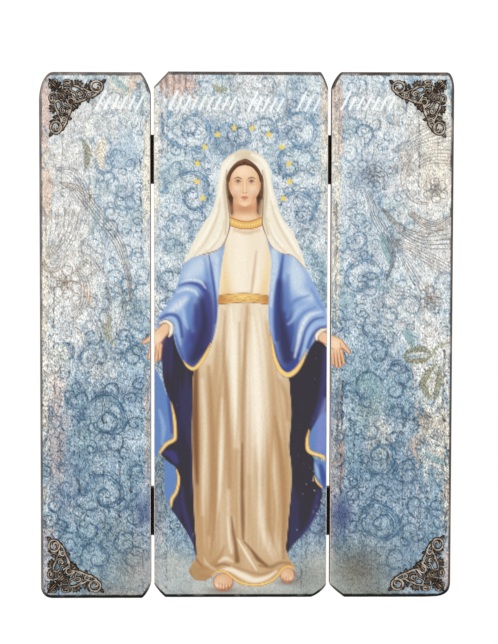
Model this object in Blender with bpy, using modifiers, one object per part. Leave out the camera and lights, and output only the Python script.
"""Three-board devotional wall panel with battens, filigree corners and a hanger.

Metres, +Z up. The front faces -Y and the wall is at +Y. The origin is the middle
of the upper batten's rear face, which lies flat on the wall.
"""

import math

import bmesh
import bpy
from mathutils import Matrix, Vector

# Boards, seen from the front
BOARD_HEIGHT = 0.381
BOARD_THICKNESS = 0.012
LEFT_WIDTH = 0.0798
MIDDLE_WIDTH = 0.1253
RIGHT_WIDTH = 0.0882
BOARD_GAP = 0.0026
LEFT_DROP = 0.0006  # the left board was glued on this much lower
OUTER_ROUND = 0.0016  # rounding of the painted front edge
INNER_ROUND = 0.0005  # the long edges along the gaps are only eased

# Hand-cut corners: width, height and roundness, 1 for a straight cut and 2 for a quarter ellipse
CORNER_CUTS = {
    "left": {
        "top_left": (0.0103, 0.0205, 2.0),
        "top_right": (0.0070, 0.0146, 1.3),
        "bottom_right": (0.0065, 0.0104, 1.3),
        "bottom_left": (0.0080, 0.0080, 2.0),
    },
    "middle": {
        "top_left": (0.0104, 0.0110, 1.0),
        "top_right": (0.0055, 0.0123, 1.25),
        "bottom_right": (0.0117, 0.0096, 1.4),
        "bottom_left": (0.0082, 0.0097, 1.15),
    },
    "right": {
        "top_left": (0.0071, 0.0118, 1.4),
        "top_right": (0.0050, 0.0123, 2.0),
        "bottom_right": (0.0198, 0.0137, 3.4),
        "bottom_left": (0.0108, 0.0093, 1.1),
    },
}
CORNER_STEPS = 6

# Battens across the backs
BATTEN_HEIGHT = 0.0355
BATTEN_THICKNESS = 0.009
BATTEN_TOP_MARGIN = 0.0445
BATTEN_BOTTOM_MARGIN = 0.0435
BATTEN_END_INSET = 0.012
BATTEN_ROUND = 0.0006

# The glue line, and the room between any two pieces that touch
GLUE_GAP = 0.0003

# Filigree corners: how far each sits from its board's outer side and from its top or bottom
FILIGREE_MARGINS = {
    "top_left": (0.0063, 0.0045),
    "top_right": (0.0052, 0.0046),
    "bottom_right": (0.0037, 0.0039),
    "bottom_left": (0.0041, 0.0032),
}
FILIGREE_LEG = 0.042
FILIGREE_SUNK = 0.0001  # the strands' axes lie this far under their flat backs
STRAND = 0.0007  # half the width of a plain strand
RING_SIDES = 8
SCROLL_STEP = 45.0  # degrees between two points of a scroll

# Sawtooth hanger on the back of the middle board
HANGER_LENGTH = 0.044
HANGER_HEIGHT = 0.0085
HANGER_SHEET = 0.0009
HANGER_STANDOFF = 0.002  # how far the toothed bridge stands off its two tabs
HANGER_TAB = 0.0095
HANGER_DROP = 0.022  # from the board's top edge to the hanger's middle
TOOTH_COUNT = 7
TOOTH_DEPTH = 0.0014
NAIL_HEAD_RADIUS = 0.0024
NAIL_HEAD_HEIGHT = 0.0008
NAIL_SHANK_RADIUS = 0.0008
NAIL_DEPTH = 0.0085  # how far a nail goes into the board
NAIL_SIDES = 12

# Worked out from the values above
PANEL_WIDTH = LEFT_WIDTH + MIDDLE_WIDTH + RIGHT_WIDTH + 2 * BOARD_GAP
PANEL_LEFT = -PANEL_WIDTH / 2
PANEL_TOP = BATTEN_TOP_MARGIN + BATTEN_HEIGHT / 2
BOARD_BACK = -BATTEN_THICKNESS - GLUE_GAP
BOARD_FRONT = BOARD_BACK - BOARD_THICKNESS
MIDDLE_LEFT = PANEL_LEFT + LEFT_WIDTH + BOARD_GAP
RIGHT_LEFT = MIDDLE_LEFT + MIDDLE_WIDTH + BOARD_GAP
MIDDLE_CENTRE = MIDDLE_LEFT + MIDDLE_WIDTH / 2

# A curve drawn flat in X and Y stands up facing the viewer, with its own +Z towards -Y
FACING = Matrix.Rotation(math.radians(90), 4, "X")


def clear_scene():
    for ob in list(bpy.data.objects):
        bpy.data.objects.remove(ob, do_unlink=True)


def new_collection(name):
    made = bpy.data.collections.new(name)
    bpy.context.scene.collection.children.link(made)
    return made


def material(name, colour, roughness, metallic=0.0):
    made = bpy.data.materials.new(name)
    made.use_nodes = True
    shader = made.node_tree.nodes["Principled BSDF"]
    shader.inputs["Base Color"].default_value = (*colour, 1.0)
    shader.inputs["Roughness"].default_value = roughness
    shader.inputs["Metallic"].default_value = metallic
    return made


def flat_outline(name, points, thickness, collection):
    """A closed outline in X and Y, filled and given a thickness that is centred on Z = 0."""
    curve = bpy.data.curves.new(name, "CURVE")
    curve.dimensions = "2D"
    curve.fill_mode = "BOTH"
    curve.extrude = thickness / 2
    spline = curve.splines.new("POLY")
    spline.points.add(len(points) - 1)
    for slot, (x, y) in zip(spline.points, points):
        slot.co = (x, y, 0.0, 1.0)
    spline.use_cyclic_u = True
    ob = bpy.data.objects.new(name, curve)
    collection.objects.link(ob)
    return ob


def as_mesh(ob):
    """Turns a curve object into a mesh object of the same name and place, with its caps welded."""
    bpy.context.view_layer.update()
    graph = bpy.context.evaluated_depsgraph_get()
    mesh = bpy.data.meshes.new_from_object(ob.evaluated_get(graph), depsgraph=graph)
    bm = bmesh.new()
    bm.from_mesh(mesh)
    bmesh.ops.remove_doubles(bm, verts=bm.verts, dist=1e-7)
    bmesh.ops.recalc_face_normals(bm, faces=bm.faces)
    bm.to_mesh(mesh)
    bm.free()
    name, place, homes = ob.name, ob.matrix_world.copy(), list(ob.users_collection)
    bpy.data.objects.remove(ob, do_unlink=True)
    mesh.name = name
    made = bpy.data.objects.new(name, mesh)
    made.matrix_world = place
    for home in homes:
        home.objects.link(made)
    return made


def merge_flat_faces(mesh):
    """Joins the triangles of a flat cap into one face, so that a bevel runs round it evenly."""
    bm = bmesh.new()
    bm.from_mesh(mesh)
    bmesh.ops.dissolve_limit(
        bm, angle_limit=math.radians(0.5), verts=bm.verts, edges=bm.edges
    )
    bm.to_mesh(mesh)
    bm.free()


def cut_away(ob, cutter):
    mod = ob.modifiers.new("Cut away", "BOOLEAN")
    mod.operation = "DIFFERENCE"
    mod.solver = "EXACT"
    mod.object = cutter
    cutter.hide_render = True
    cutter.display_type = "WIRE"
    return mod


def box(name, size, centre, collection):
    mesh = bpy.data.meshes.new(name)
    bm = bmesh.new()
    bmesh.ops.create_cube(bm, size=1.0)
    bmesh.ops.scale(bm, vec=size, verts=bm.verts)
    bm.to_mesh(mesh)
    bm.free()
    ob = bpy.data.objects.new(name, mesh)
    ob.location = centre
    collection.objects.link(ob)
    return ob


def add_cylinder(bm, radius, start, end, sides):
    """A cylinder along Y between two depths, into bm."""
    place = Matrix.Translation((0, (start + end) / 2, 0)) @ FACING
    bmesh.ops.create_cone(
        bm,
        cap_ends=True,
        segments=sides,
        radius1=radius,
        radius2=radius,
        depth=abs(end - start),
        matrix=place,
    )


def corner_arc(corner, cut, towards, first_side):
    """Points round a cut corner: |x/width|^n + |y/height|^n = 1 about the cut's inner centre.

    towards is the outward direction of the corner, such as (-1, 1) for the top left one.
    The arc runs from the board's side to its end, or the other way round.
    """
    width, height, roundness = cut
    centre = Vector(corner) - Vector((towards[0] * width, towards[1] * height))
    points = []
    for step in range(CORNER_STEPS + 1):
        angle = math.pi / 2 * step / CORNER_STEPS
        across = math.cos(angle) ** (2 / roundness) * width
        along = math.sin(angle) ** (2 / roundness) * height
        points.append((centre.x + towards[0] * across, centre.y + towards[1] * along))
    return points if first_side else points[::-1]


def board_outline(side, left, width, top):
    """The board's front outline, clockwise from its top left corner."""
    cuts = CORNER_CUTS[side]
    right = left + width
    bottom = top - BOARD_HEIGHT
    return (
        corner_arc((left, top), cuts["top_left"], (-1, 1), True)
        + corner_arc((right, top), cuts["top_right"], (1, 1), False)
        + corner_arc((right, bottom), cuts["bottom_right"], (1, -1), True)
        + corner_arc((left, bottom), cuts["bottom_left"], (-1, -1), False)
    )


def weigh_front_edges(mesh, gap_sides):
    """Bevel weights: full round on the outer front edges, eased along the gaps, none behind."""
    weights = mesh.attributes.new("bevel_weight_edge", "FLOAT", "EDGE")
    for edge in mesh.edges:
        a, b = (mesh.vertices[i].co for i in edge.vertices)
        if min(a.z, b.z) < BOARD_THICKNESS / 4:
            continue
        beside_gap = any(abs(a.x - x) < 1e-5 and abs(b.x - x) < 1e-5 for x in gap_sides)
        weights.data[edge.index].value = (
            INNER_ROUND / OUTER_ROUND if beside_gap else 1.0
        )


def make_board(side, left, width, top, gap_sides, finish, collection):
    outline = board_outline(side, left, width, top)
    ob = flat_outline(f"board_{side}", outline, BOARD_THICKNESS, collection)
    ob = as_mesh(ob)
    merge_flat_faces(ob.data)
    weigh_front_edges(ob.data, gap_sides)
    ob.matrix_world = (
        Matrix.Translation((0, (BOARD_FRONT + BOARD_BACK) / 2, 0)) @ FACING
    )
    bevel = ob.modifiers.new("Front edge", "BEVEL")
    bevel.limit_method = "WEIGHT"
    bevel.width = OUTER_ROUND
    bevel.segments = 2
    ob.data.materials.append(finish)
    return ob


def make_boards(collection):
    printed = material("printed_board", (0.42, 0.50, 0.58), 0.6)
    middle_right = MIDDLE_LEFT + MIDDLE_WIDTH
    make_board(
        "left",
        PANEL_LEFT,
        LEFT_WIDTH,
        PANEL_TOP - LEFT_DROP,
        (PANEL_LEFT + LEFT_WIDTH,),
        printed,
        collection,
    )
    middle = make_board(
        "middle",
        MIDDLE_LEFT,
        MIDDLE_WIDTH,
        PANEL_TOP,
        (MIDDLE_LEFT, middle_right),
        printed,
        collection,
    )
    make_board(
        "right",
        RIGHT_LEFT,
        RIGHT_WIDTH,
        PANEL_TOP,
        (RIGHT_LEFT,),
        printed,
        collection,
    )
    return middle


def make_battens(collection):
    black = material("black_paint", (0.012, 0.012, 0.012), 0.5)
    length = PANEL_WIDTH - 2 * BATTEN_END_INSET
    panel_bottom = PANEL_TOP - BOARD_HEIGHT
    heights = {
        "upper": PANEL_TOP - BATTEN_TOP_MARGIN - BATTEN_HEIGHT / 2,
        "lower": panel_bottom + BATTEN_BOTTOM_MARGIN + BATTEN_HEIGHT / 2,
    }
    for where, height in heights.items():
        ob = box(
            f"batten_{where}",
            (length, BATTEN_THICKNESS, BATTEN_HEIGHT),
            (0, -BATTEN_THICKNESS / 2, height),
            collection,
        )
        bevel = ob.modifiers.new("Eased edges", "BEVEL")
        bevel.width = BATTEN_ROUND
        bevel.segments = 1
        ob.data.materials.append(black)


# Filigree, drawn flat with U along one leg and V along the other, as shares of the leg.
# The corner is at (0, 0), and the drawing is the same on both sides of its diagonal.


def scroll(centre, radii, start, sweep, shrink, thick, thin):
    """A spiral round centre: the radii fall by the share shrink as the angle sweeps, in degrees."""
    steps = max(3, round(abs(sweep) / SCROLL_STEP))
    strand = []
    for step in range(steps + 1):
        t = step / steps
        angle = math.radians(start + sweep * t)
        fall = 1 - shrink * t
        u = centre[0] + radii[0] * fall * math.cos(angle)
        v = centre[1] + radii[1] * fall * math.sin(angle)
        strand.append((u, v, thick + (thin - thick) * t))
    return strand


def petal(base, tip, belly):
    """A leaf from base to tip that is widest, by belly, at 60% of its length."""
    middle = [b + (t - b) * 0.6 for b, t in zip(base, tip)]
    return [(*base, belly * 0.6), (*middle, belly), (*tip, belly * 0.15)]


def mirrored(strand):
    return [(v, u, width) for u, v, width in strand]


def half_strands():
    """The open strands on one side of the diagonal."""
    plain = STRAND / FILIGREE_LEG
    # Lobes of the corner leaf
    yield petal((0.080, 0.060), (0.098, 0.014), 2.0 * plain)
    yield petal((0.125, 0.095), (0.160, 0.018), 2.2 * plain)
    yield petal((0.160, 0.130), (0.225, 0.062), 2.1 * plain)
    # Scroll on the leg's outer side
    yield scroll((0.345, 0.068), (0.084, 0.052), 45, 450, 0.7, plain, 1.3 * plain)
    # Stem under the scroll, which ends in a hook round the large opening
    yield [
        (0.200, 0.165, 1.3 * plain),
        (0.255, 0.130, plain),
        (0.345, 0.132, plain),
        (0.440, 0.126, 1.2 * plain),
        (0.510, 0.138, 1.5 * plain),
        (0.580, 0.180, 1.3 * plain),
        (0.625, 0.245, plain),
        (0.612, 0.325, plain),
        (0.555, 0.375, 1.4 * plain),
        (0.508, 0.320, plain),
        (0.500, 0.262, 1.6 * plain),
    ]
    # Fan of leaves
    for tip in ((0.466, 0.020), (0.525, 0.018), (0.580, 0.038), (0.616, 0.086)):
        yield petal((0.505, 0.125), tip, 1.3 * plain)
    # Branch to the tip, with its spike
    yield [
        (0.560, 0.165, 1.3 * plain),
        (0.640, 0.190, 1.2 * plain),
        (0.710, 0.230, 1.3 * plain),
        (0.770, 0.232, 1.2 * plain),
    ]
    yield petal((0.705, 0.215), (0.745, 0.028), 1.6 * plain)
    # Curl inside the tip ring, the tip itself and the knob below
    yield scroll((0.845, 0.158), (0.072, 0.052), 170, -250, 0.45, plain, 1.7 * plain)
    yield petal((0.915, 0.090), (1.000, 0.020), 1.8 * plain)
    yield petal((0.745, 0.295), (0.788, 0.342), 1.6 * plain)
    # Edge of the long side, from the tip ring past the knob to the flower
    yield [
        (0.925, 0.190, plain),
        (0.865, 0.250, 1.2 * plain),
        (0.775, 0.308, 1.4 * plain),
        (0.680, 0.340, 1.2 * plain),
        (0.580, 0.385, 1.5 * plain),
        (0.490, 0.405, 1.4 * plain),
        (0.430, 0.420, 1.4 * plain),
    ]
    # Flower on the long side
    yield petal((0.450, 0.430), (0.572, 0.440), 2.6 * plain)
    # Leaves between the corner leaf and the middle ring
    yield petal((0.200, 0.200), (0.420, 0.200), 2.3 * plain)
    yield petal((0.225, 0.225), (0.440, 0.300), 2.5 * plain)
    # Ties
    yield [(0.255, 0.130, plain), (0.262, 0.215, plain)]
    yield [(0.405, 0.130, 1.2 * plain), (0.390, 0.200, plain), (0.500, 0.262, plain)]
    yield [(0.420, 0.292, 1.3 * plain), (0.495, 0.400, 1.3 * plain)]


def half_rings():
    """The closed rings on one side of the diagonal: centre, radii and strand width."""
    plain = STRAND / FILIGREE_LEG
    yield (0.842, 0.140), (0.100, 0.092), 1.3 * plain
    yield (0.706, 0.283), (0.038, 0.036), plain


def diagonal_strands():
    """The corner leaf's spine, the leaf and flower in the middle, and the ring's boss."""
    plain = STRAND / FILIGREE_LEG
    yield petal((0.205, 0.205), (0.016, 0.010), 3.2 * plain)
    yield petal((0.205, 0.205), (0.355, 0.355), 2.2 * plain)
    yield petal((0.430, 0.430), (0.520, 0.520), 3.0 * plain)
    yield petal((0.350, 0.350), (0.450, 0.450), 1.8 * plain)


def diagonal_rings():
    plain = STRAND / FILIGREE_LEG
    yield (0.398, 0.398), (0.054, 0.054), 1.1 * plain


def strand_object(name, strand, closed, collection):
    """A four-sided tube along a strand, its width given at each point."""
    curve = bpy.data.curves.new(name, "CURVE")
    curve.dimensions = "3D"
    curve.twist_mode = "Z_UP"
    curve.bevel_depth = 1.0
    curve.bevel_resolution = 0
    curve.use_fill_caps = True
    spline = curve.splines.new("POLY")
    spline.points.add(len(strand) - 1)
    for slot, (u, v, width) in zip(spline.points, strand):
        slot.co = (u * FILIGREE_LEG, -v * FILIGREE_LEG, -FILIGREE_SUNK, 1.0)
        slot.radius = width * FILIGREE_LEG
    spline.use_cyclic_u = closed
    ob = bpy.data.objects.new(name, curve)
    collection.objects.link(ob)
    return as_mesh(ob)


def ring_strand(centre, radii, width):
    strand = []
    for side in range(RING_SIDES):
        angle = math.tau * side / RING_SIDES
        strand.append(
            (
                centre[0] + radii[0] * math.cos(angle),
                centre[1] + radii[1] * math.sin(angle),
                width,
            )
        )
    return strand


def filigree_mesh(cutters):
    """All strands and rings joined into one solid, which is cut off flat at the board."""
    drawn = []
    for strand in half_strands():
        drawn += [(strand, False), (mirrored(strand), False)]
    for ring in half_rings():
        round_strand = ring_strand(*ring)
        drawn += [(round_strand, True), (mirrored(round_strand), True)]
    drawn += [(strand, False) for strand in diagonal_strands()]
    drawn += [(ring_strand(*ring), True) for ring in diagonal_rings()]
    together = bmesh.new()
    for strand, closed in drawn:
        ob = strand_object("strand", strand, closed, cutters)
        together.from_mesh(ob.data)
        bpy.data.objects.remove(ob, do_unlink=True)
    mesh = bpy.data.meshes.new("filigree_form")
    together.to_mesh(mesh)
    together.free()
    form = bpy.data.objects.new("filigree_form", mesh)
    cutters.objects.link(form)
    below = box(
        "below_board",
        (4 * FILIGREE_LEG, 4 * FILIGREE_LEG, FILIGREE_LEG),
        (0, 0, -FILIGREE_LEG / 2),
        cutters,
    )
    cut = cut_away(form, below)
    cut.use_self = True  # the strands run through each other
    mesh = as_mesh(form).data
    for ob in list(cutters.objects):
        bpy.data.objects.remove(ob, do_unlink=True)
    bm = bmesh.new()
    bm.from_mesh(mesh)
    bmesh.ops.remove_doubles(bm, verts=bm.verts, dist=5e-6)
    bmesh.ops.dissolve_degenerate(bm, edges=bm.edges, dist=1e-6)
    bmesh.ops.dissolve_limit(
        bm, angle_limit=math.radians(1), verts=bm.verts, edges=bm.edges
    )
    bmesh.ops.triangulate(bm, faces=bm.faces)
    bm.to_mesh(mesh)
    bm.free()
    return mesh


def make_filigrees(collection, cutters):
    mesh = filigree_mesh(cutters)
    mesh.materials.append(material("antique_bronze", (0.16, 0.12, 0.09), 0.45, 0.9))
    left_top = PANEL_TOP - LEFT_DROP
    right = RIGHT_LEFT + RIGHT_WIDTH
    corners = {
        "top_left": (PANEL_LEFT, left_top, 0),
        "top_right": (right, PANEL_TOP, -90),
        "bottom_right": (right, PANEL_TOP - BOARD_HEIGHT, 180),
        "bottom_left": (PANEL_LEFT, left_top - BOARD_HEIGHT, 90),
    }
    for corner, (x, z, turn) in corners.items():
        side, end = FILIGREE_MARGINS[corner]
        inward = 1 if corner.endswith("left") else -1
        down = -1 if corner.startswith("top") else 1
        place = (x + inward * side, BOARD_FRONT - GLUE_GAP, z + down * end)
        ob = bpy.data.objects.new(f"corner_{corner}", mesh)
        ob.matrix_world = (
            Matrix.Translation(place)
            @ FACING
            @ Matrix.Rotation(math.radians(turn), 4, "Z")
        )
        collection.objects.link(ob)


def hanger_section():
    """The bent sheet seen from above: two tabs on the board and a bridge that stands off it.

    X runs along the hanger and Y away from the board.
    """
    half = HANGER_LENGTH / 2
    tab = half - HANGER_TAB
    rise = HANGER_STANDOFF
    sheet = HANGER_SHEET
    outer = [
        (-half, sheet),
        (-tab - rise, sheet),
        (-tab, rise + sheet),
        (tab, rise + sheet),
        (tab + rise, sheet),
        (half, sheet),
    ]
    inner = [
        (half, 0.0),
        (tab + rise - sheet * 0.4, 0.0),
        (tab - sheet * 0.4, rise),
        (-tab + sheet * 0.4, rise),
        (-tab - rise + sheet * 0.4, 0.0),
        (-half, 0.0),
    ]
    return outer + inner


def tooth_row():
    """The notches under the bridge, as one saw-edged outline in X and Z that is cut away."""
    half = HANGER_LENGTH / 2 - HANGER_TAB
    pitch = 2 * half / TOOTH_COUNT
    edge = -HANGER_HEIGHT / 2
    points = [(-half, edge - TOOTH_DEPTH)]
    for tooth in range(TOOTH_COUNT):
        points.append((-half + pitch * tooth, edge))
        points.append((-half + pitch * (tooth + 0.5), edge + TOOTH_DEPTH))
    points += [(half, edge), (half, edge - TOOTH_DEPTH)]
    return points


def nail_places():
    reach = HANGER_LENGTH / 2 - (HANGER_TAB - HANGER_STANDOFF) / 2
    height = PANEL_TOP - HANGER_DROP
    return {
        "left": (MIDDLE_CENTRE - reach, height),
        "right": (MIDDLE_CENTRE + reach, height),
    }


def nail_holes(name, start, end, collection):
    """A cutter for both nail holes between two depths."""
    mesh = bpy.data.meshes.new(name)
    bm = bmesh.new()
    for x, z in nail_places().values():
        shank = bmesh.new()
        add_cylinder(shank, NAIL_SHANK_RADIUS + GLUE_GAP, start, end, NAIL_SIDES)
        bmesh.ops.translate(shank, vec=(x, 0, z), verts=shank.verts)
        part = bpy.data.meshes.new("hole")
        shank.to_mesh(part)
        shank.free()
        bm.from_mesh(part)
        bpy.data.meshes.remove(part)
    bm.to_mesh(mesh)
    bm.free()
    ob = bpy.data.objects.new(name, mesh)
    collection.objects.link(ob)
    return ob


def make_hanger(collection, cutters, middle_board):
    steel = material("zinc_steel", (0.55, 0.55, 0.56), 0.4, 1.0)
    back = BOARD_BACK + GLUE_GAP
    height = PANEL_TOP - HANGER_DROP
    hanger = as_mesh(
        flat_outline("sawtooth_hanger", hanger_section(), HANGER_HEIGHT, collection)
    )
    hanger.matrix_world = Matrix.Translation((MIDDLE_CENTRE, back, height))
    hanger.data.materials.append(steel)
    teeth = as_mesh(
        flat_outline("hanger_teeth", tooth_row(), 4 * HANGER_STANDOFF, cutters)
    )
    depth = back + HANGER_STANDOFF + HANGER_SHEET / 2
    teeth.matrix_world = Matrix.Translation((MIDDLE_CENTRE, depth, height)) @ FACING
    cut_away(hanger, teeth)
    sheet_holes = nail_holes(
        "hanger_holes", BOARD_BACK, back + 2 * HANGER_SHEET, cutters
    )
    cut_away(hanger, sheet_holes)
    board_holes = nail_holes(
        "board_holes", BOARD_BACK - NAIL_DEPTH - GLUE_GAP, back, cutters
    )
    cut_away(middle_board, board_holes)
    under_head = back + HANGER_SHEET + GLUE_GAP
    for side, (x, z) in nail_places().items():
        mesh = bpy.data.meshes.new(f"hanger_nail_{side}")
        profile = [
            (0.0, BOARD_BACK - NAIL_DEPTH),
            (NAIL_SHANK_RADIUS, BOARD_BACK - NAIL_DEPTH + 2 * NAIL_SHANK_RADIUS),
            (NAIL_SHANK_RADIUS, under_head),
            (NAIL_HEAD_RADIUS, under_head),
            (NAIL_HEAD_RADIUS * 0.8, under_head + NAIL_HEAD_HEIGHT),
            (0.0, under_head + NAIL_HEAD_HEIGHT),
        ]
        bm = bmesh.new()
        ring = [bm.verts.new((r, 0, y)) for r, y in profile]
        edges = [bm.edges.new(pair) for pair in zip(ring, ring[1:])]
        bmesh.ops.spin(
            bm,
            geom=ring + edges,
            axis=(0, 0, 1),
            cent=(0, 0, 0),
            angle=math.tau,
            steps=NAIL_SIDES,
        )
        bmesh.ops.remove_doubles(bm, verts=bm.verts, dist=1e-6)
        bmesh.ops.recalc_face_normals(bm, faces=bm.faces)
        bm.to_mesh(mesh)
        bm.free()
        nail = bpy.data.objects.new(f"hanger_nail_{side}", mesh)
        nail.matrix_world = Matrix.Translation((x, 0, z)) @ Matrix.Rotation(
            math.radians(-90), 4, "X"
        )
        nail.data.materials.append(steel)
        collection.objects.link(nail)


def main():
    clear_scene()
    panel = new_collection("wall_panel")
    cutters = new_collection("cutters")
    middle_board = make_boards(panel)
    make_battens(panel)
    make_filigrees(panel, cutters)
    make_hanger(panel, cutters, middle_board)


main()
